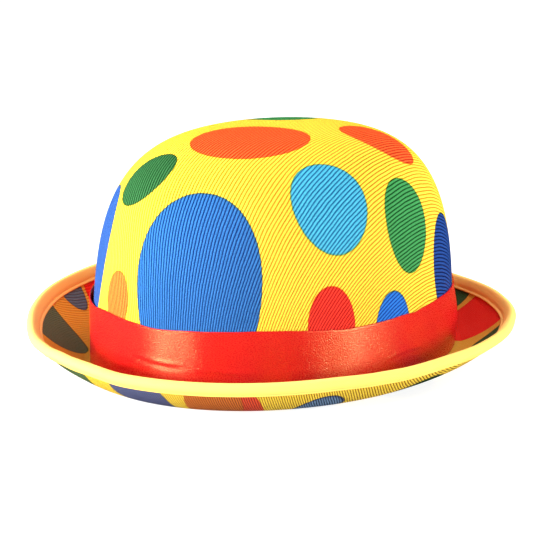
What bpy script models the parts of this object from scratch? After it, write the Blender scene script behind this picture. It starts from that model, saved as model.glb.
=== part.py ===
"""Clown bowler hat: moulded cloth crown and brim, satin ribbon, taped brim edge.

Metres, +Z up. The hat stands on its brim with the front towards -Y, and the
origin is on the table under the middle of the brim.
"""

import math

import bpy

# Opening for the head, inside the cloth: a 59 cm head
HEAD_WIDTH = 0.171
HEAD_LENGTH = 0.206

# Foam-backed cloth of the crown and the brim
CLOTH = 0.0025

# Clearance between pieces that touch on the real hat
FIT_GAP = 0.0003

# Crown
CROWN_HEIGHT = 0.121
CROWN_SQUARENESS = 3.66
CROWN_TAPER = 0.036
CROWN_LEAN_BACK = 0.0013

# Brim, measured over the bare cloth edge
BRIM_WIDTH = 0.243
BRIM_LENGTH = 0.2675
FRONT_RISE = 0.0186
SIDE_RISE = 0.0246
RISE_SPREAD = 1.47
RISE_LEAN = 0.003
CURL_POWER = 1.22
EDGE_CURL_SHARE = 0.22
EDGE_CURL_POWER = 4.0
FLAT_SHARE = 0.14

# Ribbon round the foot of the crown
RIBBON_WIDTH = 0.035
RIBBON_THICKNESS = 0.001
RIBBON_SLACK = 0.0016
SLACK_TURN = 228.0
SLACK_SPREAD = 24.0

# Tape folded over the brim's edge
TAPE_THICKNESS = 0.001
TAPE_REACH = 0.0048

# Points round each ring of the hat
AROUND = 72

# Steps up the crown from its foot to its top, as shares of a quarter turn
OUTER_STEPS = (0.02, 0.07, 0.15, 0.25, 0.36, 0.47, 0.57, 0.66, 0.74, 0.81, 0.87, 0.92, 0.96, 0.985)
INNER_STEPS = (0.03, 0.10, 0.22, 0.36, 0.50, 0.62, 0.73, 0.82, 0.89, 0.95, 0.985)

# Places across the brim between its flat foot and the tape, as shares of that stretch
BRIM_STEPS = (0.25, 0.5, 0.75)

# Places across the tape, as shares of its reach from the edge of the brim
TAPE_STEPS = (0.64, 0.30)

# Corners of the half-round edge of the brim, in degrees from its upper face
EDGE_TURNS = (36.0, 72.0, 108.0, 144.0)

# Heights up the ribbon, as shares of its width
RIBBON_STEPS = (0.0, 0.4, 0.75, 1.0)

CROWN_HALF_WIDTH = HEAD_WIDTH / 2 + CLOTH
CROWN_HALF_LENGTH = HEAD_LENGTH / 2 + CLOTH
EDGE_RADIUS = CLOTH / 2
TURNS = [2 * math.pi * step / AROUND for step in range(AROUND)]


def clear_scene():
    for thing in list(bpy.data.objects):
        bpy.data.objects.remove(thing, do_unlink=True)


def cloth_material(name, colour, roughness):
    material = bpy.data.materials.new(name)
    material.use_nodes = True
    shader = material.node_tree.nodes["Principled BSDF"]
    shader.inputs["Base Color"].default_value = (*colour, 1.0)
    shader.inputs["Roughness"].default_value = roughness
    shader.inputs["Metallic"].default_value = 0.0
    material.diffuse_color = (*colour, 1.0)
    return material


def make_body(name, points, faces, material):
    mesh = bpy.data.meshes.new(name)
    mesh.from_pydata(points, [], faces)
    mesh.materials.append(material)
    body = bpy.data.objects.new(name, mesh)
    bpy.context.collection.objects.link(body)
    bpy.ops.object.select_all(action="DESELECT")
    body.select_set(True)
    bpy.context.view_layer.objects.active = body
    bpy.ops.object.mode_set(mode="EDIT")
    bpy.ops.mesh.select_all(action="SELECT")
    bpy.ops.mesh.normals_make_consistent(inside=False)
    bpy.ops.object.mode_set(mode="OBJECT")
    bpy.ops.object.shade_smooth()
    return body


def ring_faces(rings):
    """Faces of a closed band whose section is the same loop of points at every turn."""
    count = len(rings[0])
    faces = []
    for ring in range(len(rings)):
        ahead = (ring + 1) % len(rings)
        for corner in range(count):
            beside = (corner + 1) % count
            faces.append(
                (
                    ring * count + corner,
                    ring * count + beside,
                    ahead * count + beside,
                    ahead * count + corner,
                )
            )
    return faces


def make_band(name, rings, material):
    points = [point for ring in rings for point in ring]
    return make_body(name, points, ring_faces(rings), material)


def crown_narrowing(height, full_height):
    """Share of the foot's size that is left at a height on the dome."""
    share = min(height / full_height, 1.0)
    shoulder = (1.0 - share**CROWN_SQUARENESS) ** (1.0 / CROWN_SQUARENESS)
    return shoulder * (1.0 - CROWN_TAPER * share)


def crown_point(turn, height, full_height, half_width, half_length, stand_off=0.0):
    size = crown_narrowing(height, full_height)
    return (
        (half_width * size + stand_off) * math.cos(turn),
        (half_length * size + stand_off) * math.sin(turn) + CROWN_LEAN_BACK * height / CROWN_HEIGHT,
        height,
    )


def crown_heights(steps, foot, full_height):
    """Heights of the rings of the dome, closer together where it turns over."""
    heights = [foot]
    for step in steps:
        height = full_height * math.sin(step * math.pi / 2) ** (2.0 / CROWN_SQUARENESS)
        if height > foot + CLOTH:
            heights.append(height)
    return heights


def make_crown(material):
    """Hollow dome that stands on the inner edge of the brim."""
    foot = CLOTH + FIT_GAP
    inner_height = CROWN_HEIGHT - CLOTH
    points = []
    for height in crown_heights(OUTER_STEPS, foot, CROWN_HEIGHT):
        for turn in TURNS:
            points.append(
                crown_point(turn, height, CROWN_HEIGHT, CROWN_HALF_WIDTH, CROWN_HALF_LENGTH)
            )
    outer_rings = len(points) // AROUND
    for height in crown_heights(INNER_STEPS, foot, inner_height):
        for turn in TURNS:
            points.append(
                crown_point(turn, height, inner_height, HEAD_WIDTH / 2, HEAD_LENGTH / 2)
            )
    all_rings = len(points) // AROUND
    outer_peak = len(points)
    points.append((0.0, CROWN_LEAN_BACK, CROWN_HEIGHT))
    inner_peak = len(points)
    points.append((0.0, CROWN_LEAN_BACK, inner_height))

    links = [(ring, ring + 1) for ring in range(outer_rings - 1)]
    links += [(ring, ring + 1) for ring in range(outer_rings, all_rings - 1)]
    links.append((0, outer_rings))
    faces = []
    for ring, other in links:
        for corner in range(AROUND):
            beside = (corner + 1) % AROUND
            faces.append(
                (
                    ring * AROUND + corner,
                    ring * AROUND + beside,
                    other * AROUND + beside,
                    other * AROUND + corner,
                )
            )
    for ring, peak in ((outer_rings - 1, outer_peak), (all_rings - 1, inner_peak)):
        for corner in range(AROUND):
            beside = (corner + 1) % AROUND
            faces.append((ring * AROUND + corner, ring * AROUND + beside, peak))
    return make_body("crown", points, faces, material)


def rim_height(turn):
    """Height of the middle of the brim's edge: higher at the sides than front and back."""
    side = math.cos(turn)
    rise = FRONT_RISE + (SIDE_RISE - FRONT_RISE) * abs(side) ** RISE_SPREAD
    return rise - RISE_LEAN * side


def brim_middle(turn, share):
    """Point half way through the cloth, from the crown at share 0 to the edge at share 1."""
    reach_x = BRIM_WIDTH / 2 - EDGE_RADIUS - CROWN_HALF_WIDTH
    reach_y = BRIM_LENGTH / 2 - EDGE_RADIUS - CROWN_HALF_LENGTH
    bend = max(share - FLAT_SHARE, 0.0) / (1.0 - FLAT_SHARE)
    curl = (1.0 - EDGE_CURL_SHARE) * bend**CURL_POWER + EDGE_CURL_SHARE * bend**EDGE_CURL_POWER
    low = CLOTH / 2
    return (
        (CROWN_HALF_WIDTH + reach_x * share) * math.cos(turn),
        (CROWN_HALF_LENGTH + reach_y * share) * math.sin(turn),
        low + (rim_height(turn) - low) * curl,
    )


def across_and_up(turn, share):
    """Unit directions along the cloth towards the edge, and out of its upper face."""
    step = 0.004
    near = brim_middle(turn, share - step)
    far = brim_middle(turn, min(share + step, 1.0))
    run_x = far[0] - near[0]
    run_y = far[1] - near[1]
    climb = far[2] - near[2]
    run = math.hypot(run_x, run_y)
    length = math.hypot(run, climb)
    out_x = run_x / run
    out_y = run_y / run
    across = (out_x * run / length, out_y * run / length, climb / length)
    up = (-out_x * climb / length, -out_y * climb / length, run / length)
    return across, up


def share_back_from_edge(turn, distance):
    """Share of the reach at a distance measured back along the cloth from its edge."""
    steps = 400
    walked = 0.0
    before = brim_middle(turn, 1.0)
    for step in range(1, steps):
        share = 1.0 - step / steps
        here = brim_middle(turn, share)
        walked += math.dist(before, here)
        if walked >= distance:
            return share
        before = here
    return 0.0


def off_middle(turn, share, lift, onward=0.0):
    middle = brim_middle(turn, share)
    across, up = across_and_up(turn, share)
    return tuple(middle[axis] + up[axis] * lift + across[axis] * onward for axis in range(3))


def edge_round(turn, radius, degrees):
    angle = math.radians(degrees)
    return off_middle(turn, 1.0, radius * math.cos(angle), radius * math.sin(angle))


def tape_shares(turn):
    """Places across the taped stretch, from the tape's own edge to the brim's edge."""
    start = share_back_from_edge(turn, TAPE_REACH)
    return [start] + [share_back_from_edge(turn, TAPE_REACH * step) for step in TAPE_STEPS]


def make_brim(material):
    """Ring that lies flat beside the crown and curls up to its half-round edge."""
    rings = []
    for turn in TURNS:
        taped = tape_shares(turn)
        free = [FLAT_SHARE + (taped[0] - FLAT_SHARE) * step for step in BRIM_STEPS]
        inside = (HEAD_WIDTH / 2 * math.cos(turn), HEAD_LENGTH / 2 * math.sin(turn))
        shares = [0.0, FLAT_SHARE] + free + taped + [1.0]
        upper = [(*inside, CLOTH)]
        lower = [(*inside, 0.0)]
        for share in shares:
            if share <= FLAT_SHARE:
                middle = brim_middle(turn, share)
                upper.append((middle[0], middle[1], CLOTH))
                lower.append((middle[0], middle[1], 0.0))
            else:
                upper.append(off_middle(turn, share, EDGE_RADIUS))
                lower.append(off_middle(turn, share, -EDGE_RADIUS))
        edge = [edge_round(turn, EDGE_RADIUS, degrees) for degrees in EDGE_TURNS]
        rings.append(upper + edge + lower[::-1])
    return make_band("brim", rings, material)


def make_edge_binding(material):
    """Tape with the same section all round, folded over the edge of the brim."""
    inner = EDGE_RADIUS + FIT_GAP
    outer = inner + TAPE_THICKNESS
    rings = []
    for turn in TURNS:
        shares = tape_shares(turn) + [1.0]
        loop = [off_middle(turn, share, outer) for share in shares]
        loop += [edge_round(turn, outer, degrees) for degrees in EDGE_TURNS]
        loop += [off_middle(turn, share, -outer) for share in reversed(shares)]
        loop += [off_middle(turn, share, -inner) for share in shares]
        loop += [edge_round(turn, inner, degrees) for degrees in reversed(EDGE_TURNS)]
        loop += [off_middle(turn, share, inner) for share in reversed(shares)]
        rings.append(loop)
    return make_band("edge_binding", rings, material)


def ribbon_slack(turn, share_up):
    """Extra room between crown and ribbon where the top of the ribbon hangs loose."""
    away = abs(math.degrees(turn) - SLACK_TURN)
    away = min(away, 360.0 - away)
    if away >= SLACK_SPREAD:
        return 0.0
    return RIBBON_SLACK * share_up**2 * math.cos(away / SLACK_SPREAD * math.pi / 2) ** 2


def make_ribbon_band(material):
    """Flat ribbon standing on the brim round the foot of the crown."""
    foot = CLOTH + FIT_GAP
    rings = []
    for turn in TURNS:
        inside = []
        outside = []
        for step in RIBBON_STEPS:
            height = foot + RIBBON_WIDTH * step
            stand_off = FIT_GAP + ribbon_slack(turn, step)
            placed = (turn, height, CROWN_HEIGHT, CROWN_HALF_WIDTH, CROWN_HALF_LENGTH)
            inside.append(crown_point(*placed, stand_off))
            outside.append(crown_point(*placed, stand_off + RIBBON_THICKNESS))
        rings.append(inside + outside[::-1])
    return make_band("ribbon_band", rings, material)


clear_scene()
make_crown(cloth_material("crown", (0.90, 0.68, 0.03), 0.75))
make_brim(cloth_material("brim", (0.86, 0.62, 0.03), 0.75))
make_ribbon_band(cloth_material("ribbon_band", (0.74, 0.02, 0.02), 0.35))
make_edge_binding(cloth_material("edge_binding", (0.92, 0.82, 0.18), 0.8))
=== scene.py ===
import math

import bmesh
import bpy
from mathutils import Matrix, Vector


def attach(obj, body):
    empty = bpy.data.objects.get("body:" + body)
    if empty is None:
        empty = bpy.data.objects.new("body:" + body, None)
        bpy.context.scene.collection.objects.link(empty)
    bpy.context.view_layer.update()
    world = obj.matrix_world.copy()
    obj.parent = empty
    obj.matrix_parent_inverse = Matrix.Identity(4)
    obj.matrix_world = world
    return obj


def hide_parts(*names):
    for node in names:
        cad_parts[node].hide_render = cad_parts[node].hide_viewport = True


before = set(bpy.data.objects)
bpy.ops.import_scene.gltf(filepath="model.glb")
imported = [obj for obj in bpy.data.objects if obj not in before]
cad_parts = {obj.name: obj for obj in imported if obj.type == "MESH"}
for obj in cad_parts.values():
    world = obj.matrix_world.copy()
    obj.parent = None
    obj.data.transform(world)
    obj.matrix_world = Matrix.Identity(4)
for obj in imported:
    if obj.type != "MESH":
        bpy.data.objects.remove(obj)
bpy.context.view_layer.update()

# CROWN
# One seamless dome of ribbed stretch cloth bonded to thin foam and pressed over a hot
# mould. The dots are printed on the flat cloth before it is pressed, and so are stretched
# with it. Its foot is sewn to the brim, under the ribbon.

AROUND = 192
HEAD_HALF_WIDTH = 0.0855
HEAD_HALF_LENGTH = 0.103
CLOTH = 0.0025
CROWN_HALF_WIDTH = HEAD_HALF_WIDTH + CLOTH
CROWN_HALF_LENGTH = HEAD_HALF_LENGTH + CLOTH
CROWN_HEIGHT = 0.121
CROWN_SQUARENESS = 3.66
CROWN_TAPER = 0.036
CROWN_LEAN_BACK = 0.0013
CROWN_FOOT = 0.0028
CROWN_ROWS = 56
LAST_ROW_ABOVE_FOOT = 0.008


def on_crown(turn, height, stand_off=0.0):
    share = min(height / CROWN_HEIGHT, 1.0)
    size = (1.0 - share**CROWN_SQUARENESS) ** (1.0 / CROWN_SQUARENESS)
    size *= 1.0 - CROWN_TAPER * share
    return Vector(
        (
            (CROWN_HALF_WIDTH * size + stand_off) * math.cos(turn),
            (CROWN_HALF_LENGTH * size + stand_off) * math.sin(turn) + CROWN_LEAN_BACK * share,
            height,
        )
    )


def start_ring(name, place, centre=None):
    """A circle of edges, opened in edit mode, with its points put in place round the hat."""
    bpy.ops.object.select_all(action="DESELECT")
    fill = "NOTHING" if centre is None else "TRIFAN"
    bpy.ops.mesh.primitive_circle_add(vertices=AROUND, radius=1.0, fill_type=fill)
    piece = bpy.context.object
    piece.name = name
    piece.data.name = name
    bpy.ops.object.mode_set(mode="EDIT")
    mesh = bmesh.from_edit_mesh(piece.data)
    mesh.verts.layers.float.new("turn")
    mesh.verts.layers.float.new("along")
    turn = mesh.verts.layers.float["turn"]
    along = mesh.verts.layers.float["along"]
    for point in mesh.verts:
        if point.co.length < 0.5:
            point.co = centre
            point.select = False
            continue
        point[turn] = math.atan2(point.co.y, point.co.x) % (2 * math.pi)
        point.co = place(point[turn])
        if centre is not None:
            point[along] = (point.co - Vector(centre)).length
    mesh.select_flush_mode()
    bmesh.update_edit_mesh(piece.data)
    return piece


def draw_out(piece, place, grows=1.0):
    """Extrudes the selected ring and moves the new points to their places."""
    bpy.ops.mesh.extrude_region_move()
    mesh = bmesh.from_edit_mesh(piece.data)
    turn = mesh.verts.layers.float["turn"]
    along = mesh.verts.layers.float["along"]
    for point in mesh.verts:
        if point.select:
            spot = Vector(place(point[turn]))
            point[along] += grows * (spot - point.co).length
            point.co = spot
    bmesh.update_edit_mesh(piece.data)


def finish_mesh(piece):
    bpy.ops.mesh.select_all(action="SELECT")
    bpy.ops.mesh.normals_make_consistent(inside=False)
    bpy.ops.object.mode_set(mode="OBJECT")
    bpy.ops.object.shade_smooth()


def lay_cloth(piece):
    """Gives each point its place on the flat cloth, measured from the top of the crown."""
    mesh = piece.data
    turns = mesh.attributes["turn"].data
    alongs = mesh.attributes["along"].data
    cloth = mesh.uv_layers.new(name="cloth")
    for loop in mesh.loops:
        turn = turns[loop.vertex_index].value
        along = alongs[loop.vertex_index].value
        bearing = math.atan2(CROWN_HALF_LENGTH * math.sin(turn), CROWN_HALF_WIDTH * math.cos(turn))
        cloth.data[loop.index].uv = (along * math.cos(bearing), along * math.sin(bearing))


def crown_heights():
    heights = []
    for row in range(1, CROWN_ROWS):
        quarter = math.pi / 2 * (1.0 - row / CROWN_ROWS)
        height = CROWN_HEIGHT * math.sin(quarter) ** (2.0 / CROWN_SQUARENESS)
        if height > CROWN_FOOT + LAST_ROW_ABOVE_FOOT:
            heights.append(height)
    heights.append(CROWN_FOOT)
    return heights


heights = crown_heights()
crown = start_ring(
    "crown_cloth",
    lambda turn: on_crown(turn, heights[0]),
    centre=(0.0, CROWN_LEAN_BACK, CROWN_HEIGHT),
)
for height in heights[1:]:
    draw_out(crown, lambda turn: on_crown(turn, height))
finish_mesh(crown)
lay_cloth(crown)

# Distance down the cloth from the top of the crown to its foot, at each point round it
foot_distance = {}
for point, turn, along in zip(
    crown.data.vertices, crown.data.attributes["turn"].data, crown.data.attributes["along"].data
):
    if point.co.z < CROWN_FOOT + 0.0001:
        foot_distance[round(turn.value, 3)] = along.value


def group_socket(group, name, side, kind):
    return group.interface.new_socket(name=name, in_out=side, socket_type=kind)


def maths(tree, operation, first, second=None, clamp=False):
    node = tree.nodes.new("ShaderNodeMath")
    node.operation = operation
    node.use_clamp = clamp
    for place, value in enumerate((first, second)):
        if value is None:
            continue
        if isinstance(value, (int, float)):
            node.inputs[place].default_value = value
        else:
            tree.links.new(value, node.inputs[place])
    return node.outputs[0]


RIB_PITCH = 0.00188
RIB_RELIEF = 0.00048
RIB_WANDER = 0.0012
DOT_EDGE = 0.0005
DOT_FRAY = 0.0009
FULL_OVERLAP = 1.2
OVERLAP_FADE = -0.6


def build_printed_dot():
    """One dot of ink: an oval in the flat cloth, whose edge overlaps the ground's own ink."""
    group = bpy.data.node_groups.new("Printed dot", "ShaderNodeTree")
    group_socket(group, "Cloth", "INPUT", "NodeSocketVector")
    group_socket(group, "Below", "INPUT", "NodeSocketColor")
    group_socket(group, "Ink", "INPUT", "NodeSocketColor")
    group_socket(group, "Middle", "INPUT", "NodeSocketVector")
    group_socket(group, "Turn", "INPUT", "NodeSocketVector")
    group_socket(group, "Half size", "INPUT", "NodeSocketVector")
    group_socket(group, "Edge", "INPUT", "NodeSocketFloat")
    group_socket(group, "Colour", "OUTPUT", "NodeSocketColor")
    start = group.nodes.new("NodeGroupInput")
    end = group.nodes.new("NodeGroupOutput")
    fit = group.nodes.new("ShaderNodeMapping")
    fit.vector_type = "TEXTURE"
    group.links.new(start.outputs["Cloth"], fit.inputs["Vector"])
    group.links.new(start.outputs["Middle"], fit.inputs["Location"])
    group.links.new(start.outputs["Turn"], fit.inputs["Rotation"])
    group.links.new(start.outputs["Half size"], fit.inputs["Scale"])
    reach = group.nodes.new("ShaderNodeVectorMath")
    reach.operation = "LENGTH"
    group.links.new(fit.outputs["Vector"], reach.inputs[0])
    size = group.nodes.new("ShaderNodeSeparateXYZ")
    group.links.new(start.outputs["Half size"], size.inputs[0])
    inside = maths(group, "SUBTRACT", 1.0, reach.outputs["Value"])
    inside = maths(group, "MULTIPLY", inside, size.outputs["X"])
    inside = maths(group, "DIVIDE", inside, start.outputs["Edge"])
    covered = maths(group, "ADD", inside, 0.5, clamp=True)
    overlap = maths(group, "MULTIPLY", inside, OVERLAP_FADE)
    overlap = maths(group, "ADD", overlap, FULL_OVERLAP, clamp=True)
    both_inks = group.nodes.new("ShaderNodeMix")
    both_inks.data_type = "RGBA"
    both_inks.blend_type = "MULTIPLY"
    group.links.new(overlap, both_inks.inputs["Factor"])
    group.links.new(start.outputs["Ink"], both_inks.inputs["A"])
    group.links.new(start.outputs["Below"], both_inks.inputs["B"])
    mix = group.nodes.new("ShaderNodeMix")
    mix.data_type = "RGBA"
    group.links.new(covered, mix.inputs["Factor"])
    group.links.new(start.outputs["Below"], mix.inputs["A"])
    group.links.new(both_inks.outputs["Result"], mix.inputs["B"])
    group.links.new(mix.outputs["Result"], end.inputs["Colour"])
    return group


def build_cloth_ribs():
    """Fine woven ribs that run straight across the flat cloth."""
    group = bpy.data.node_groups.new("Cloth ribs", "ShaderNodeTree")
    group_socket(group, "Cloth", "INPUT", "NodeSocketVector")
    group_socket(group, "Turn", "INPUT", "NodeSocketVector")
    group_socket(group, "Pitch", "INPUT", "NodeSocketFloat")
    group_socket(group, "Groove", "OUTPUT", "NodeSocketFloat")
    group_socket(group, "Height", "OUTPUT", "NodeSocketFloat")
    start = group.nodes.new("NodeGroupInput")
    end = group.nodes.new("NodeGroupOutput")
    turned = group.nodes.new("ShaderNodeMapping")
    turned.vector_type = "TEXTURE"
    group.links.new(start.outputs["Cloth"], turned.inputs["Vector"])
    group.links.new(start.outputs["Turn"], turned.inputs["Rotation"])
    wander = group.nodes.new("ShaderNodeTexNoise")
    wander.inputs["Scale"].default_value = 60.0
    wander.inputs["Detail"].default_value = 2.0
    group.links.new(start.outputs["Cloth"], wander.inputs["Vector"])
    drift = maths(group, "SUBTRACT", wander.outputs["Fac"], 0.5)
    drift = maths(group, "MULTIPLY", drift, RIB_WANDER)
    parts = group.nodes.new("ShaderNodeSeparateXYZ")
    group.links.new(turned.outputs["Vector"], parts.inputs[0])
    across = maths(group, "ADD", parts.outputs["Y"], drift)
    count = maths(group, "DIVIDE", across, start.outputs["Pitch"])
    half_turns = maths(group, "MULTIPLY", count, math.pi)
    wave = maths(group, "SINE", half_turns)
    ridge = maths(group, "ABSOLUTE", wave)
    groove = maths(group, "SUBTRACT", 1.0, ridge)
    groove = maths(group, "POWER", groove, 1.1)
    cosine = maths(group, "COSINE", half_turns)
    crest = maths(group, "ABSOLUTE", cosine)
    seam = maths(group, "SUBTRACT", 1.0, crest)
    seam = maths(group, "POWER", seam, 1.5)
    seam = maths(group, "MULTIPLY", seam, 0.30)
    groove = maths(group, "ADD", groove, seam)
    thread = group.nodes.new("ShaderNodeTexNoise")
    thread.inputs["Scale"].default_value = 1.0
    thread.inputs["Detail"].default_value = 1.0
    spread = group.nodes.new("ShaderNodeMapping")
    spread.inputs["Scale"].default_value = (2600.0, 1100.0, 1.0)
    group.links.new(turned.outputs["Vector"], spread.inputs["Vector"])
    group.links.new(spread.outputs["Vector"], thread.inputs["Vector"])
    speck = maths(group, "SUBTRACT", thread.outputs["Fac"], 0.5)
    fleck = maths(group, "MULTIPLY", speck, 0.9)
    groove = maths(group, "ADD", groove, fleck)
    height = maths(group, "SUBTRACT", ridge, seam)
    speck = maths(group, "MULTIPLY", speck, 0.6)
    height = maths(group, "ADD", height, speck)
    # Groove marks the grooves; the printed cloth paints shade into its colour there.
    group.links.new(groove, end.inputs["Groove"])
    group.links.new(height, end.inputs["Height"])
    return group


printed_dot = build_printed_dot()
cloth_ribs = build_cloth_ribs()

YELLOW = (0.90, 0.68, 0.068)
WARM_YELLOW = (0.89, 0.63, 0.052)
ORANGE_RED = (0.82, 0.120, 0.027)
RED = (0.76, 0.040, 0.024)
GREEN = (0.052, 0.290, 0.084)
BLUE = (0.032, 0.160, 0.41)
SKY_BLUE = (0.072, 0.43, 0.58)
# The orange-red ink lightened for the small dot low on the left side: painted light from the
# strong lamp there.
LIT_ORANGE_RED = (0.85, 0.21, 0.035)
# The green ink darkened for the dot high on the front left shoulder: painted shade where that
# shoulder gets less light.
SHOULDER_SHADE_GREEN = (0.036, 0.150, 0.048)
BRIGHT_BLUE = (0.024, 0.19, 0.60)
DARK_BLUE = (0.040, 0.120, 0.36)
MIDNIGHT_BLUE = (0.016, 0.065, 0.27)


def printed_cloth(name, ground, ground_shade, dots, rib_turn, groove_shade_strength, groove_shade_tint):
    """Ribbed polyester with its dots: a distance from the top and a bearing place each one."""
    material = bpy.data.materials.new(name)
    material.use_nodes = True
    tree = material.node_tree
    shader = tree.nodes["Principled BSDF"]
    cloth = tree.nodes.new("ShaderNodeUVMap")
    cloth.uv_map = "cloth"

    fray = tree.nodes.new("ShaderNodeTexNoise")
    fray.inputs["Scale"].default_value = 900.0
    fray.inputs["Detail"].default_value = 2.0
    tree.links.new(cloth.outputs["UV"], fray.inputs["Vector"])
    centred = tree.nodes.new("ShaderNodeVectorMath")
    centred.operation = "SUBTRACT"
    centred.inputs[1].default_value = (0.5, 0.5, 0.5)
    tree.links.new(fray.outputs["Color"], centred.inputs[0])
    small = tree.nodes.new("ShaderNodeVectorMath")
    small.operation = "SCALE"
    small.inputs["Scale"].default_value = DOT_FRAY
    tree.links.new(centred.outputs[0], small.inputs[0])
    frayed = tree.nodes.new("ShaderNodeVectorMath")
    frayed.operation = "ADD"
    tree.links.new(cloth.outputs["UV"], frayed.inputs[0])
    tree.links.new(small.outputs[0], frayed.inputs[1])
    flat = tree.nodes.new("ShaderNodeVectorMath")
    flat.operation = "MULTIPLY"
    flat.inputs[1].default_value = (1.0, 1.0, 0.0)
    tree.links.new(frayed.outputs[0], flat.inputs[0])

    patch = tree.nodes.new("ShaderNodeTexNoise")
    patch.inputs["Scale"].default_value = 22.0
    patch.inputs["Detail"].default_value = 3.0
    tree.links.new(cloth.outputs["UV"], patch.inputs["Vector"])
    base = tree.nodes.new("ShaderNodeMix")
    base.data_type = "RGBA"
    base.inputs["A"].default_value = (*ground, 1.0)
    base.inputs["B"].default_value = (*ground_shade, 1.0)
    tree.links.new(patch.outputs["Fac"], base.inputs["Factor"])
    colour = base.outputs["Result"]

    for distance, bearing, across, along, lean, ink in dots:
        dot = tree.nodes.new("ShaderNodeGroup")
        dot.node_tree = printed_dot
        angle = math.radians(bearing)
        dot.inputs["Middle"].default_value = (
            distance * math.cos(angle),
            distance * math.sin(angle),
            0.0,
        )
        dot.inputs["Turn"].default_value = (0.0, 0.0, math.radians(bearing + lean))
        dot.inputs["Half size"].default_value = (along, across, 1.0)
        dot.inputs["Edge"].default_value = DOT_EDGE
        dot.inputs["Ink"].default_value = (*ink, 1.0)
        tree.links.new(flat.outputs[0], dot.inputs["Cloth"])
        tree.links.new(colour, dot.inputs["Below"])
        colour = dot.outputs["Colour"]

    ribs = tree.nodes.new("ShaderNodeGroup")
    ribs.node_tree = cloth_ribs
    ribs.inputs["Turn"].default_value = (0.0, 0.0, math.radians(rib_turn))
    ribs.inputs["Pitch"].default_value = RIB_PITCH
    tree.links.new(cloth.outputs["UV"], ribs.inputs["Cloth"])
    # Darkens the colour along the rib grooves, more for darker inks: painted shade in the grooves.
    depth = maths(tree, "MULTIPLY", ribs.outputs["Groove"], groove_shade_strength, clamp=True)
    deep = tree.nodes.new("ShaderNodeGamma")
    deep.inputs["Gamma"].default_value = 2.3
    tree.links.new(colour, deep.inputs["Color"])
    groove_shade_colour = tree.nodes.new("ShaderNodeMix")
    groove_shade_colour.data_type = "RGBA"
    groove_shade_colour.blend_type = "MULTIPLY"
    groove_shade_colour.inputs["Factor"].default_value = 1.0
    groove_shade_colour.inputs["B"].default_value = (*groove_shade_tint, 1.0)
    tree.links.new(deep.outputs["Color"], groove_shade_colour.inputs["A"])
    darker = tree.nodes.new("ShaderNodeMix")
    darker.data_type = "RGBA"
    tree.links.new(depth, darker.inputs["Factor"])
    tree.links.new(colour, darker.inputs["A"])
    tree.links.new(groove_shade_colour.outputs["Result"], darker.inputs["B"])
    tree.links.new(darker.outputs["Result"], shader.inputs["Base Color"])

    bump = tree.nodes.new("ShaderNodeBump")
    bump.inputs["Strength"].default_value = 1.0
    bump.inputs["Distance"].default_value = RIB_RELIEF
    tree.links.new(ribs.outputs["Height"], bump.inputs["Height"])
    tree.links.new(bump.outputs["Normal"], shader.inputs["Normal"])
    rough = maths(tree, "MULTIPLY", patch.outputs["Fac"], 0.16)
    rough = maths(tree, "ADD", rough, 0.42)
    tree.links.new(rough, shader.inputs["Roughness"])
    shader.inputs["Specular IOR Level"].default_value = 0.06
    return material


# Dots on the crown: distance from the top, bearing, half width across, half length, lean, ink
CROWN_DOTS = (
    (0.0289, 286, 0.0298, 0.0315, -30, ORANGE_RED),
    (0.054, 42.6, 0.0186, 0.0227, -31, ORANGE_RED),
    (0.050, 133, 0.025, 0.026, 0, GREEN),
    (0.068, 187, 0.018, 0.021, 10, ORANGE_RED),
    (0.083, 258.3, 0.0163, 0.0184, -16, SHOULDER_SHADE_GREEN),
    (0.084, 335.8, 0.0232, 0.0252, -6, SKY_BLUE),
    (0.0995, 10.8, 0.0208, 0.0253, -24, GREEN),
    (0.142, 291.2, 0.0460, 0.0570, 0, BLUE),
    (0.149, 263.8, 0.0137, 0.0155, 0, LIT_ORANGE_RED),
    (0.148, 333, 0.0215, 0.0240, 0, RED),
    (0.136, 239.8, 0.0325, 0.044, 0, DARK_BLUE),
    (0.135, 37.0, 0.0312, 0.029, -14, MIDNIGHT_BLUE),
    (0.156, 358, 0.0232, 0.0262, 0, BRIGHT_BLUE),
    (0.100, 82, 0.024, 0.027, 10, SKY_BLUE),
    (0.112, 116, 0.020, 0.022, -10, ORANGE_RED),
    (0.098, 152, 0.019, 0.022, 15, BLUE),
    (0.146, 143, 0.022, 0.025, 0, GREEN),
    (0.130, 183, 0.030, 0.036, 0, SKY_BLUE),
    (0.097, 213, 0.016, 0.018, 12, ORANGE_RED),
    (0.146, 212, 0.016, 0.019, 0, RED),
    (0.150, 66, 0.016, 0.019, 0, RED),
    (0.150, 92, 0.015, 0.018, 0, GREEN),
    (0.162, 118, 0.014, 0.016, 0, BLUE),
)

crown.data.materials.append(
    printed_cloth(
        "crown_print",
        YELLOW,
        WARM_YELLOW,
        CROWN_DOTS,
        rib_turn=106,
        groove_shade_strength=1.35,
        groove_shade_tint=(0.48, 0.38, 0.60),
    )
)


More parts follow.
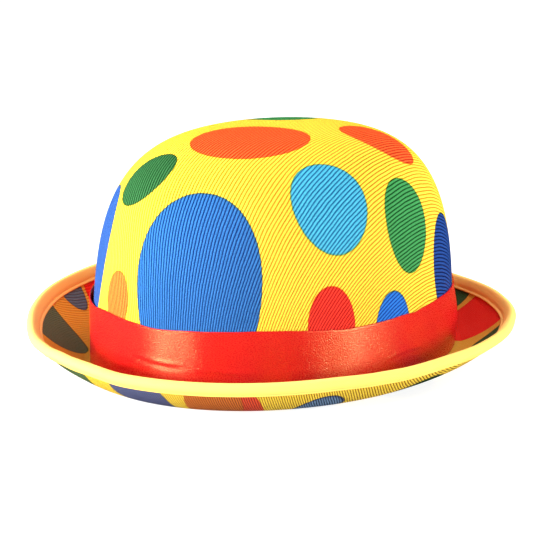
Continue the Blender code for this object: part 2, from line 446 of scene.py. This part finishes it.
def build_plain_lining():
    """Pale knitted backing that shows inside the hat."""
    material = bpy.data.materials.new("plain_lining")
    material.use_nodes = True
    tree = material.node_tree
    shader = tree.nodes["Principled BSDF"]
    place = tree.nodes.new("ShaderNodeTexCoord")
    knit = tree.nodes.new("ShaderNodeTexNoise")
    knit.inputs["Scale"].default_value = 1400.0
    knit.inputs["Detail"].default_value = 3.0
    tree.links.new(place.outputs["Object"], knit.inputs["Vector"])
    tint = tree.nodes.new("ShaderNodeMix")
    tint.data_type = "RGBA"
    tint.inputs["A"].default_value = (0.78, 0.76, 0.70, 1.0)
    tint.inputs["B"].default_value = (0.64, 0.62, 0.56, 1.0)
    tree.links.new(knit.outputs["Fac"], tint.inputs["Factor"])
    tree.links.new(tint.outputs["Result"], shader.inputs["Base Color"])
    bump = tree.nodes.new("ShaderNodeBump")
    bump.inputs["Strength"].default_value = 0.6
    bump.inputs["Distance"].default_value = 0.0002
    tree.links.new(knit.outputs["Fac"], bump.inputs["Height"])
    tree.links.new(bump.outputs["Normal"], shader.inputs["Normal"])
    shader.inputs["Roughness"].default_value = 0.9
    return material


crown.data.materials.append(build_plain_lining())
bpy.ops.object.modifier_add(type="SOLIDIFY")
wall = crown.modifiers["Solidify"]
wall.thickness = CLOTH
wall.offset = -1.0
wall.material_offset = 1
wall.material_offset_rim = 1
bpy.ops.object.modifier_apply(modifier="Solidify")

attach(crown, "root")
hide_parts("crown")

# BRIM
# A ring of the same bonded cloth, printed and ribbed on both faces. It lies flat beside
# the crown and curls up all round, higher at the sides than at the front and back.

BRIM_HALF_WIDTH = 0.12025
BRIM_HALF_LENGTH = 0.1325
FRONT_RISE = 0.0186
SIDE_RISE = 0.0246
RISE_SPREAD = 1.47
RISE_LEAN = 0.003
CURL_POWER = 1.22
EDGE_CURL_SHARE = 0.22
EDGE_CURL_POWER = 4.0
FLAT_SHARE = 0.14
HALF_CLOTH = CLOTH / 2
BRIM_ROWS = 16
SHORT_WAY = 0.004

# Unevenness of the rim, where the edge was sewn: turn in degrees, outward, up
RIM_UNEVEN = (
    (195, 0.0008, 0.0),
    (215, 0.0018, 0.0002),
    (232, 0.0022, 0.0),
    (246, 0.0030, -0.0006),
    (254, 0.0026, 0.0004),
    (262, 0.0012, 0.0014),
    (271, 0.0002, 0.0018),
    (282, 0.0, 0.0006),
    (330, 0.0, -0.0001),
    (341, 0.0, -0.0008),
    (349, 0.0, -0.0012),
    (360, 0.0, -0.0009),
    (372, 0.0009, -0.0012),
    (385, 0.0020, -0.0006),
    (397, 0.0012, 0.0),
    (418, 0.0, -0.0006),
    (440, 0.0, -0.0014),
    (460, 0.0, -0.0008),
    (500, 0.0, 0.0),
    (540, 0.0003, 0.0),
    (555, 0.0008, 0.0),
)


def between_rows(rows, degrees):
    """Reads a table of turns smoothly, all the way round the hat."""
    degrees = (degrees - rows[0][0]) % 360.0 + rows[0][0]
    for low, high in zip(rows, rows[1:]):
        if degrees <= high[0]:
            share = (degrees - low[0]) / (high[0] - low[0])
            share = share * share * (3.0 - 2.0 * share)
            return [start + (end - start) * share for start, end in zip(low[1:], high[1:])]
    return rows[-1][1:]


def brim_middle(turn, share):
    side = math.cos(turn)
    outward, upward = between_rows(RIM_UNEVEN, math.degrees(turn))
    rise = FRONT_RISE + (SIDE_RISE - FRONT_RISE) * abs(side) ** RISE_SPREAD - RISE_LEAN * side
    bend = max(share - FLAT_SHARE, 0.0) / (1.0 - FLAT_SHARE)
    curl = (1.0 - EDGE_CURL_SHARE) * bend**CURL_POWER + EDGE_CURL_SHARE * bend**EDGE_CURL_POWER
    reach_out = outward * share * share
    half_width = CROWN_HALF_WIDTH + (BRIM_HALF_WIDTH - CROWN_HALF_WIDTH) * share + reach_out
    half_length = CROWN_HALF_LENGTH + (BRIM_HALF_LENGTH - CROWN_HALF_LENGTH) * share + reach_out
    return Vector(
        (
            half_width * math.cos(turn),
            half_length * math.sin(turn),
            HALF_CLOTH + (rise + upward - HALF_CLOTH) * curl,
        )
    )


def off_brim(turn, share, lift, onward=0.0):
    """Point above or below the middle of the cloth, or past it in its own direction."""
    if share <= FLAT_SHARE:
        return brim_middle(turn, share) + Vector((0.0, 0.0, lift))
    ahead = brim_middle(turn, min(share + SHORT_WAY, 1.0))
    along = (ahead - brim_middle(turn, share - SHORT_WAY)).normalized()
    sideways = Vector((along.x, along.y, 0.0)).normalized()
    up = Vector((0.0, 0.0, 1.0)) * along.dot(sideways) - sideways * along.z
    return brim_middle(turn, share) + up * lift + along * onward


def brim_inside(turn, height):
    return Vector((HEAD_HALF_WIDTH * math.cos(turn), HEAD_HALF_LENGTH * math.sin(turn), height))


def close_section(piece):
    """Joins the last ring to the first, so that the section goes all the way round."""
    bpy.ops.mesh.select_all(action="DESELECT")
    bpy.ops.mesh.select_non_manifold()
    bpy.ops.mesh.bridge_edge_loops()
    finish_mesh(piece)


brim = start_ring("brim_cloth", lambda turn: brim_inside(turn, CLOTH))
mesh = bmesh.from_edit_mesh(brim.data)
turn_layer = mesh.verts.layers.float["turn"]
along_layer = mesh.verts.layers.float["along"]
for point in mesh.verts:
    point[along_layer] = foot_distance[round(point[turn_layer], 3)] - CLOTH
bmesh.update_edit_mesh(brim.data)

brim_shares = [0.0, FLAT_SHARE / 2, FLAT_SHARE]
for row in range(1, BRIM_ROWS + 1):
    brim_shares.append(FLAT_SHARE + (1.0 - FLAT_SHARE) * row / BRIM_ROWS)
for share in brim_shares:
    draw_out(brim, lambda turn: off_brim(turn, share, HALF_CLOTH))
for degrees in (30, 60, 90, 120, 150):
    up = HALF_CLOTH * math.cos(math.radians(degrees))
    out = HALF_CLOTH * math.sin(math.radians(degrees))
    draw_out(brim, lambda turn: off_brim(turn, 1.0, up, out), grows=0.0)
for share in reversed(brim_shares):
    draw_out(brim, lambda turn: off_brim(turn, share, -HALF_CLOTH), grows=-1.0)
draw_out(brim, lambda turn: brim_inside(turn, 0.0), grows=-1.0)
close_section(brim)
lay_cloth(brim)

# The first four serve the upper face inside the curl, darkened and warmed: painted shade and
# painted warm bounce light.
SHADED_RED = (0.76, 0.024, 0.017)
SHADED_NAVY = (0.102, 0.145, 0.200)
SHADED_OLIVE = (0.110, 0.150, 0.082)
DARK_GREEN = (0.035, 0.095, 0.035)
DULL_GREEN = (0.115, 0.190, 0.075)
NAVY = (0.125, 0.140, 0.275)
DEEP_RED = (0.78, 0.090, 0.036)
RUST = (0.66, 0.185, 0.030)
DEEP_BLUE = (0.165, 0.270, 0.430)

# Dots on the two faces of the brim, placed and sized in the flat cloth like the crown's. The upper
# face's inks are darkened and warmed: painted shade and painted warm bounce light.
UPPER_DOTS = (
    (0.198, 197, 0.026, 0.026, 0, SHADED_RED),
    (0.222, 209, 0.020, 0.020, 0, SHADED_NAVY),
    (0.219, 231.3, 0.036, 0.0305, 0, SHADED_OLIVE),
    (0.208, 80, 0.0215, 0.022, 0, DARK_GREEN),
    (0.207, 60, 0.0435, 0.045, 0, SHADED_RED),
    (0.2245, 36.2, 0.0305, 0.0305, 0, DARK_GREEN),
    (0.196, 14, 0.024, 0.022, 0, SHADED_NAVY),
    (0.215, 352, 0.030, 0.028, 0, ORANGE_RED),
    (0.196, 328, 0.026, 0.024, 0, DARK_GREEN),
    (0.220, 306, 0.028, 0.026, 0, SHADED_NAVY),
    (0.200, 284, 0.030, 0.026, 0, SHADED_RED),
    (0.212, 262, 0.022, 0.022, 0, ORANGE_RED),
    (0.215, 173, 0.036, 0.032, 0, SHADED_OLIVE),
    (0.200, 148, 0.026, 0.024, 0, SHADED_NAVY),
    (0.215, 124, 0.032, 0.028, 0, SHADED_RED),
    (0.202, 102, 0.024, 0.022, 0, SHADED_NAVY),
)
UNDER_DOTS = (
    (0.219, 258, 0.040, 0.0245, 0, DULL_GREEN),
    (0.206, 281.7, 0.0245, 0.036, 0, NAVY),
    (0.190, 303, 0.0262, 0.036, 0, DEEP_RED),
    (0.203, 299.0, 0.0238, 0.036, 0, RUST),
    (0.185, 325.6, 0.0235, 0.0220, 0, NAVY),
    (0.185, 325.6, 0.0222, 0.0207, 0, DEEP_BLUE),
    (0.156, 0, 0.0455, 0.0455, 0, DARK_GREEN),
    (0.214, 28, 0.030, 0.028, 0, DEEP_RED),
    (0.196, 49, 0.026, 0.024, 0, NAVY),
    (0.216, 71, 0.034, 0.030, 0, DULL_GREEN),
    (0.204, 94, 0.026, 0.026, 0, RUST),
    (0.214, 118, 0.036, 0.030, 0, DEEP_BLUE),
    (0.200, 142, 0.024, 0.024, 0, DEEP_RED),
    (0.214, 165, 0.032, 0.028, 0, DULL_GREEN),
    (0.200, 190, 0.026, 0.026, 0, NAVY),
    (0.214, 211, 0.030, 0.028, 0, RUST),
    (0.200, 233, 0.026, 0.026, 0, DEEP_BLUE),
)
# Ground of the upper face inside the curl: the yellow darkened and turned orange, painted shade
# and painted warm bounce light.
SHADED_YELLOW = (0.73, 0.40, 0.050)
SHADED_ORANGE = (0.67, 0.31, 0.045)

brim.data.materials.append(
    printed_cloth(
        "brim_upper_shaded_print",
        SHADED_YELLOW,
        SHADED_ORANGE,
        UPPER_DOTS,
        rib_turn=108,
        groove_shade_strength=0.5,
        groove_shade_tint=(0.70, 0.62, 0.60),
    )
)
brim.data.materials.append(
    printed_cloth(
        "brim_under_print",
        YELLOW,
        WARM_YELLOW,
        UNDER_DOTS,
        rib_turn=111,
        groove_shade_strength=1.5,
        groove_shade_tint=(0.26, 0.20, 0.24),
    )
)
for face in brim.data.polygons:
    if face.normal.z < 0.0:
        face.material_index = 1
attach(brim, "root")
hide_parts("brim")

# RIBBON
# A red satin ribbon, 35 mm wide, drawn round the foot of the crown and tacked down inside
# the fold of the brim. It creases here and there, and one stretch of its top edge hangs off.

RIBBON_FOOT = 0.0028
RIBBON_WIDTH = 0.035
RIBBON_LENGTH = 0.610
RIBBON_STAND_OFF = 0.0002
RIBBON_THICKNESS = 0.0007
RIBBON_INNER_ROWS = 8
RIBBON_OUTER_ROWS = 44
RIBBON_EDGE_SHARE = 1.002
LENGTH_PER_DEGREE = 0.00168
DEEPEST_CREASE = 0.0005
JOIN_BEARING = 100

# The stretch that hangs off: its middle and spread in degrees, how far off, more at the top
SLACK_BEARING = 229
SLACK_SPREAD = 21.0
SLACK_AT_FOOT = 0.0006
SLACK_TO_TOP = 0.0012

# The stretch that bellies out low down, and the slight gathers all the way round
BELLY_BEARING = 47
BELLY_SPREAD = 34.0
BELLY_DEPTH = 0.0017
BELLY_DROP = 0.12
GATHER_DEPTH = 0.00012
GATHERS = 23
GATHER_START = 1.3

# Unevenness of the top edge: turn in degrees, lift
RIBBON_EDGE = (
    (236, -0.0022),
    (245, -0.0022),
    (251, -0.0006),
    (257, 0.0003),
    (272, -0.0001),
    (281, -0.0009),
    (296, 0.0002),
    (306, 0.0007),
    (315, 0.0010),
    (322, 0.0007),
    (328, 0.0),
    (334, -0.0009),
    (341, -0.0019),
    (354, -0.0018),
    (363, -0.0015),
    (367, -0.0022),
    (372, -0.0013),
    (383, -0.0009),
    (390, -0.0014),
    (400, -0.0018),
    (430, -0.0008),
    (500, -0.0004),
    (560, 0.0005),
    (582, 0.0002),
    (596, -0.0022),
)

# Creases: from turn and share of the width, to turn and share, depth, half width
RIBBON_CREASES = (
    (273, 0.50, 292, 0.44, 0.00055, 0.0011),
    (296, 0.42, 313, 0.34, 0.00040, 0.0012),
    (357, 0.33, 363, 0.41, 0.00045, 0.0010),
    (363, 0.41, 371, 0.34, 0.00045, 0.0010),
    (386, 0.30, 394, 0.18, 0.00040, 0.0012),
    (344, 0.10, 356, 0.22, 0.00030, 0.0014),
    (262, 0.22, 275, 0.30, 0.00030, 0.0014),
    (318, 0.14, 334, 0.10, 0.00025, 0.0014),
)


def crease_depth(degrees, share):
    """How far the satin is pushed in along its creases, with a soft lip above each."""
    push = 0.0
    for start, start_up, end, end_up, depth, half_width in RIBBON_CREASES:
        turned = degrees if degrees > 200 else degrees + 360.0
        run = (end - start) * LENGTH_PER_DEGREE
        climb = (end_up - start_up) * RIBBON_WIDTH
        length = math.hypot(run, climb)
        ahead = (turned - start) * LENGTH_PER_DEGREE
        above = (share - start_up) * RIBBON_WIDTH
        along = (ahead * run + above * climb) / length
        if along < 0.0 or along > length:
            continue
        aside = (above * run - ahead * climb) / length
        fade = max(0.0, 1.0 - abs(2.0 * along / length - 1.0) ** 3)
        reach = aside / half_width
        fold = math.exp(-(reach**2))
        lip = 0.7 * math.exp(-((reach - 1.8) ** 2))
        push += depth * fade * (fold - lip)
    return push


def near_bearing(degrees, bearing, spread):
    """One at a bearing, and smoothly down to nothing at the spread to each side of it."""
    away = min(abs(degrees - bearing), 360 - abs(degrees - bearing))
    return math.cos(min(away / spread, 1.0) * math.pi / 2) ** 2


def on_ribbon(turn, share, stand_off):
    degrees = math.degrees(turn)
    height = RIBBON_FOOT + share * (RIBBON_WIDTH + between_rows(RIBBON_EDGE, degrees)[0])
    hanging = near_bearing(degrees, SLACK_BEARING, SLACK_SPREAD)
    slack = (SLACK_AT_FOOT + SLACK_TO_TOP * share**3) * hanging
    belly = math.sin(math.pi * min(share + BELLY_DROP, 1.0))
    belly *= near_bearing(degrees, BELLY_BEARING, BELLY_SPREAD)
    slack += BELLY_DEPTH * belly
    gather = GATHER_DEPTH * math.sin(turn * GATHERS + GATHER_START) * math.sin(math.pi * share)
    push = crease_depth(degrees, share) if stand_off > RIBBON_STAND_OFF else 0.0
    return on_crown(turn, height, stand_off + slack + gather - min(push, DEEPEST_CREASE))


outer = RIBBON_STAND_OFF + RIBBON_THICKNESS
edge = (RIBBON_STAND_OFF + outer) / 2
ribbon = start_ring("satin_ribbon", lambda turn: on_ribbon(turn, 0.0, RIBBON_STAND_OFF))
for row in range(1, RIBBON_INNER_ROWS + 1):
    share = row / RIBBON_INNER_ROWS
    draw_out(ribbon, lambda turn: on_ribbon(turn, share, RIBBON_STAND_OFF))
draw_out(ribbon, lambda turn: on_ribbon(turn, RIBBON_EDGE_SHARE, edge))
for row in range(RIBBON_OUTER_ROWS, -1, -1):
    share = row / RIBBON_OUTER_ROWS
    draw_out(ribbon, lambda turn: on_ribbon(turn, share, outer), grows=-1.0)
close_section(ribbon)


def lay_strip(piece, length_round):
    """Gives a band its own length and width as a map, with the join behind the hat."""
    mesh = piece.data
    turns = mesh.attributes["turn"].data
    alongs = mesh.attributes["along"].data
    strip = mesh.uv_layers.new(name="strip")
    join = math.radians(JOIN_BEARING)
    for face in mesh.polygons:
        spans = [(turns[index].value - join) % (2 * math.pi) for index in face.vertices]
        wraps = max(spans) - min(spans) > math.pi
        for corner, loop_index in enumerate(face.loop_indices):
            span = spans[corner]
            if wraps and span < math.pi:
                span += 2 * math.pi
            along = alongs[face.vertices[corner]].value
            strip.data[loop_index].uv = (span / (2 * math.pi) * length_round, along)


lay_strip(ribbon, RIBBON_LENGTH)


def build_satin():
    """Red satin: long floating threads along the ribbon, and a fine grain of crossing ones."""
    material = bpy.data.materials.new("red_satin")
    material.use_nodes = True
    tree = material.node_tree
    shader = tree.nodes["Principled BSDF"]
    strip = tree.nodes.new("ShaderNodeUVMap")
    strip.uv_map = "strip"
    stretch = tree.nodes.new("ShaderNodeMapping")
    stretch.inputs["Scale"].default_value = (1300.0, 1800.0, 1.0)
    tree.links.new(strip.outputs["UV"], stretch.inputs["Vector"])
    grain = tree.nodes.new("ShaderNodeTexNoise")
    grain.inputs["Scale"].default_value = 1.0
    grain.inputs["Detail"].default_value = 1.5
    tree.links.new(stretch.outputs["Vector"], grain.inputs["Vector"])
    cloud = tree.nodes.new("ShaderNodeTexNoise")
    cloud.inputs["Scale"].default_value = 45.0
    cloud.inputs["Detail"].default_value = 2.0
    tree.links.new(strip.outputs["UV"], cloud.inputs["Vector"])
    tint = tree.nodes.new("ShaderNodeMix")
    tint.data_type = "RGBA"
    tint.inputs["A"].default_value = (0.40, 0.0052, 0.0060, 1.0)
    tint.inputs["B"].default_value = (0.45, 0.0075, 0.0080, 1.0)
    tree.links.new(cloud.outputs["Fac"], tint.inputs["Factor"])
    tree.links.new(tint.outputs["Result"], shader.inputs["Base Color"])
    rough = maths(tree, "MULTIPLY", grain.outputs["Fac"], 0.34)
    rough = maths(tree, "ADD", rough, 0.12)
    tree.links.new(rough, shader.inputs["Roughness"])
    bump = tree.nodes.new("ShaderNodeBump")
    bump.inputs["Strength"].default_value = 1.0
    bump.inputs["Distance"].default_value = 0.00020
    tree.links.new(grain.outputs["Fac"], bump.inputs["Height"])
    tree.links.new(bump.outputs["Normal"], shader.inputs["Normal"])
    length = tree.nodes.new("ShaderNodeTangent")
    length.direction_type = "UV_MAP"
    length.uv_map = "strip"
    tree.links.new(length.outputs["Tangent"], shader.inputs["Tangent"])
    shader.inputs["Anisotropic"].default_value = 0.85
    shader.inputs["Anisotropic Rotation"].default_value = 0.25
    shader.inputs["Specular IOR Level"].default_value = 1.0
    shader.inputs["Specular Tint"].default_value = (1.0, 0.62, 0.24, 1.0)
    return material


ribbon.data.materials.append(build_satin())
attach(ribbon, "root")
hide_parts("ribbon_band")

# EDGE BINDING
# Yellow bias tape folded over the cut edge of the brim and sewn through close to its own
# edges. It is plump over the rim, and the sewing pulls a shallow channel into each face.

# Section of the tape: distance back from the rim's edge, height off the middle of the cloth
UPPER_TAPE = (
    (0.0064, 0.00150),
    (0.0065, 0.00180),
    (0.0063, 0.00205),
    (0.0057, 0.00208),
    (0.0052, 0.00185),
    (0.0048, 0.00172),
    (0.0044, 0.00185),
    (0.0038, 0.00222),
    (0.0028, 0.00248),
    (0.0014, 0.00258),
)
UNDER_TAPE = (
    (0.0045, 0.00150),
    (0.0046, 0.00175),
    (0.0044, 0.00192),
    (0.0040, 0.00194),
    (0.0036, 0.00180),
    (0.0033, 0.00176),
    (0.0029, 0.00190),
    (0.0022, 0.00224),
    (0.0015, 0.00244),
    (0.0008, 0.00256),
)
TAPE_LENGTH = 0.800
TAPE_ROLL = 0.0026
TAPE_HUG = 0.00132

# Points of the layer that hugs the cloth: how far back from the rim's edge, on each face
UPPER_HUG_END = 0.0062
UPPER_HUG_MIDDLE = 0.0030
UNDER_HUG_END = 0.0043
UNDER_HUG_MIDDLE = 0.0024

# Where its painted shade inside the curl fades out on the way over the rim, measured from its edge
# inside the curl
OVER_RIM_FROM = 0.0085
OVER_RIM_TO = 0.0122

# Steps back from the rim's edge, and how many of them the brim's whole reach would take
WALK_STEPS = 59
STEPS_IN_REACH = 200

walk_back = {}


def share_back(turn, distance):
    """Share of the brim's reach at a distance back along the cloth from its edge."""
    key = round(turn, 3)
    if key not in walk_back:
        walked = 0.0
        before = brim_middle(turn, 1.0)
        steps = [(0.0, 1.0)]
        for step in range(1, WALK_STEPS + 1):
            share = 1.0 - step / STEPS_IN_REACH
            here = brim_middle(turn, share)
            walked += (here - before).length
            steps.append((walked, share))
            before = here
        walk_back[key] = steps
    steps = walk_back[key]
    for (near, near_share), (far, far_share) in zip(steps, steps[1:]):
        if distance <= far:
            return near_share + (far_share - near_share) * (distance - near) / (far - near)
    return steps[-1][1]


def tape_face(turn, back, lift):
    return off_brim(turn, share_back(turn, back), lift)


def tape_round(turn, radius, degrees):
    angle = math.radians(degrees)
    return off_brim(turn, 1.0, radius * math.cos(angle), radius * math.sin(angle))


binding = start_ring("edge_tape", lambda turn: tape_face(turn, UPPER_HUG_END, TAPE_HUG))
for back, lift in UPPER_TAPE:
    draw_out(binding, lambda turn: tape_face(turn, back, lift))
for degrees in range(0, 181, 20):
    draw_out(binding, lambda turn: tape_round(turn, TAPE_ROLL, degrees))
for back, lift in reversed(UNDER_TAPE):
    draw_out(binding, lambda turn: tape_face(turn, back, -lift))
draw_out(binding, lambda turn: tape_face(turn, UNDER_HUG_END, -TAPE_HUG))
draw_out(binding, lambda turn: tape_face(turn, UNDER_HUG_MIDDLE, -TAPE_HUG), grows=-1.0)
for degrees in range(180, -1, -45):
    draw_out(binding, lambda turn: tape_round(turn, TAPE_HUG, degrees), grows=-1.0)
draw_out(binding, lambda turn: tape_face(turn, UPPER_HUG_MIDDLE, TAPE_HUG), grows=-1.0)
close_section(binding)
lay_strip(binding, TAPE_LENGTH)


def build_tape():
    """Matt woven tape with a fine slanting weave, and painted shade on the face inside the curl.
    """
    material = bpy.data.materials.new("yellow_tape")
    material.use_nodes = True
    tree = material.node_tree
    shader = tree.nodes["Principled BSDF"]
    strip = tree.nodes.new("ShaderNodeUVMap")
    strip.uv_map = "strip"
    slant = tree.nodes.new("ShaderNodeMapping")
    slant.inputs["Rotation"].default_value = (0.0, 0.0, math.radians(45))
    tree.links.new(strip.outputs["UV"], slant.inputs["Vector"])
    weave = tree.nodes.new("ShaderNodeTexWave")
    weave.inputs["Scale"].default_value = 330.0
    weave.inputs["Distortion"].default_value = 1.2
    weave.inputs["Detail"].default_value = 1.0
    tree.links.new(slant.outputs["Vector"], weave.inputs["Vector"])
    cloud = tree.nodes.new("ShaderNodeTexNoise")
    cloud.inputs["Scale"].default_value = 30.0
    cloud.inputs["Detail"].default_value = 3.0
    tree.links.new(strip.outputs["UV"], cloud.inputs["Vector"])
    tint = tree.nodes.new("ShaderNodeMix")
    tint.data_type = "RGBA"
    tint.inputs["A"].default_value = (0.92, 0.60, 0.120, 1.0)
    tint.inputs["B"].default_value = (0.91, 0.54, 0.100, 1.0)
    tree.links.new(cloud.outputs["Fac"], tint.inputs["Factor"])
    place = tree.nodes.new("ShaderNodeSeparateXYZ")
    tree.links.new(strip.outputs["UV"], place.inputs[0])
    curl_shade_share = tree.nodes.new("ShaderNodeMapRange")
    curl_shade_share.inputs["From Min"].default_value = OVER_RIM_TO
    curl_shade_share.inputs["From Max"].default_value = OVER_RIM_FROM
    tree.links.new(place.outputs["Y"], curl_shade_share.inputs["Value"])
    # Darker and more orange on the face inside the curl: painted shade and painted warm bounce
    # light.
    painted_curl_shade = tree.nodes.new("ShaderNodeMix")
    painted_curl_shade.data_type = "RGBA"
    painted_curl_shade.inputs["B"].default_value = (0.76, 0.440, 0.130, 1.0)
    tree.links.new(curl_shade_share.outputs["Result"], painted_curl_shade.inputs["Factor"])
    tree.links.new(tint.outputs["Result"], painted_curl_shade.inputs["A"])
    threads = maths(tree, "MULTIPLY", weave.outputs["Fac"], 0.16)
    darker = tree.nodes.new("ShaderNodeMix")
    darker.data_type = "RGBA"
    darker.blend_type = "MULTIPLY"
    darker.inputs["B"].default_value = (0.82, 0.66, 0.40, 1.0)
    tree.links.new(threads, darker.inputs["Factor"])
    tree.links.new(painted_curl_shade.outputs["Result"], darker.inputs["A"])
    tree.links.new(darker.outputs["Result"], shader.inputs["Base Color"])
    bump = tree.nodes.new("ShaderNodeBump")
    bump.inputs["Strength"].default_value = 0.5
    bump.inputs["Distance"].default_value = 0.00012
    tree.links.new(weave.outputs["Fac"], bump.inputs["Height"])
    tree.links.new(bump.outputs["Normal"], shader.inputs["Normal"])
    shader.inputs["Roughness"].default_value = 0.8
    shader.inputs["Specular IOR Level"].default_value = 0.2
    return material


binding.data.materials.append(build_tape())
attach(binding, "root")
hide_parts("edge_binding")

# FLOOR, LIGHT AND CAMERA
# White paper underfoot and the camera at the photograph's angle. Soft boxes stand low at the
# left and right, higher out at each side, and high behind. The narrow one on the left and the
# low one on the right give the satin its highlights.

FLOOR_SIZE = 16.0
FLOOR_DROP = 0.0001

bpy.ops.object.select_all(action="DESELECT")
bpy.ops.mesh.primitive_grid_add(
    x_subdivisions=4, y_subdivisions=4, size=FLOOR_SIZE, location=(0, 0, -FLOOR_DROP)
)
floor = bpy.context.object
floor.name = "floor"
paper = bpy.data.materials.new("white_paper")
paper.use_nodes = True
paper_shader = paper.node_tree.nodes["Principled BSDF"]
paper_shader.inputs["Base Color"].default_value = (0.32, 0.32, 0.32, 1.0)
paper_shader.inputs["Roughness"].default_value = 0.9
paper_shader.inputs["Emission Color"].default_value = (1.0, 1.0, 1.0, 1.0)
paper_shader.inputs["Emission Strength"].default_value = 0.80
floor.data.materials.append(paper)
floor.visible_glossy = False

CAMERA_TURN = math.radians(45.0)
CAMERA_RISE = math.radians(15.15)
CAMERA_DISTANCE = 1.0
CAMERA_LENS = 124.46
AIM_SIDEWAYS = -0.00291
AIM_HEIGHT = 0.04403
sideways = Vector((math.cos(CAMERA_TURN), math.sin(CAMERA_TURN), 0.0))
towards_camera = Vector(
    (
        math.sin(CAMERA_TURN) * math.cos(CAMERA_RISE),
        -math.cos(CAMERA_TURN) * math.cos(CAMERA_RISE),
        math.sin(CAMERA_RISE),
    )
)
aim = sideways * AIM_SIDEWAYS + Vector((0.0, 0.0, AIM_HEIGHT))
camera_data = bpy.data.cameras.new("camera")
camera = bpy.data.objects.new("camera", camera_data)
bpy.context.collection.objects.link(camera)
camera_data.sensor_width = 36.0
camera_data.lens = CAMERA_LENS
camera_data.clip_end = 100.0
camera.location = aim + towards_camera * CAMERA_DISTANCE
camera.rotation_euler = towards_camera.to_track_quat("Z", "Y").to_euler()
bpy.context.scene.camera = camera

LIT_HEIGHT = 0.05
SOFT_WHITE = (1.0, 0.99, 0.98)
PLAIN_WHITE = (1.0, 1.0, 1.0)


def soft_light(name, turn_from_camera, rise, distance, width, height, power, colour):
    turn = CAMERA_TURN + math.radians(turn_from_camera)
    lift = math.radians(rise)
    direction = Vector(
        (math.sin(turn) * math.cos(lift), -math.cos(turn) * math.cos(lift), math.sin(lift))
    )
    data = bpy.data.lights.new(name, "AREA")
    data.shape = "RECTANGLE"
    data.size = width
    data.size_y = height
    data.energy = power
    data.color = colour
    light = bpy.data.objects.new(name, data)
    bpy.context.collection.objects.link(light)
    light.location = Vector((0.0, 0.0, LIT_HEIGHT)) + direction * distance
    light.rotation_euler = direction.to_track_quat("Z", "Y").to_euler()
    return light


# Each light: turn from the camera, rise, distance, width, height, power, colour
left_softbox = soft_light("left_softbox", -76, 11, 1.3, 0.60, 0.34, 38.0, SOFT_WHITE)
left_wing = soft_light("left_wing", -98, 34, 1.3, 0.60, 0.40, 22.0, SOFT_WHITE)
right_wing = soft_light("right_wing", 100, 34, 1.4, 0.60, 0.40, 13.0, SOFT_WHITE)
back_softbox = soft_light("back_softbox", 158, 52, 1.5, 1.0, 0.6, 22.0, PLAIN_WHITE)
for light in (left_softbox, left_wing, right_wing, back_softbox):
    light.visible_glossy = False
soft_light("left_strip", -51, 10, 1.3, 0.15, 0.34, 24.0, SOFT_WHITE)
soft_light("right_softbox", 62, 12, 1.4, 0.40, 0.36, 25.0, SOFT_WHITE)

world = bpy.data.worlds.new("studio")
bpy.context.scene.world = world
world.use_nodes = True
background = world.node_tree.nodes["Background"]
background.inputs["Color"].default_value = (1.0, 1.0, 1.0, 1.0)
background.inputs["Strength"].default_value = 0.22
world.cycles_visibility.glossy = False
bpy.context.scene.view_settings.view_transform = "Standard"
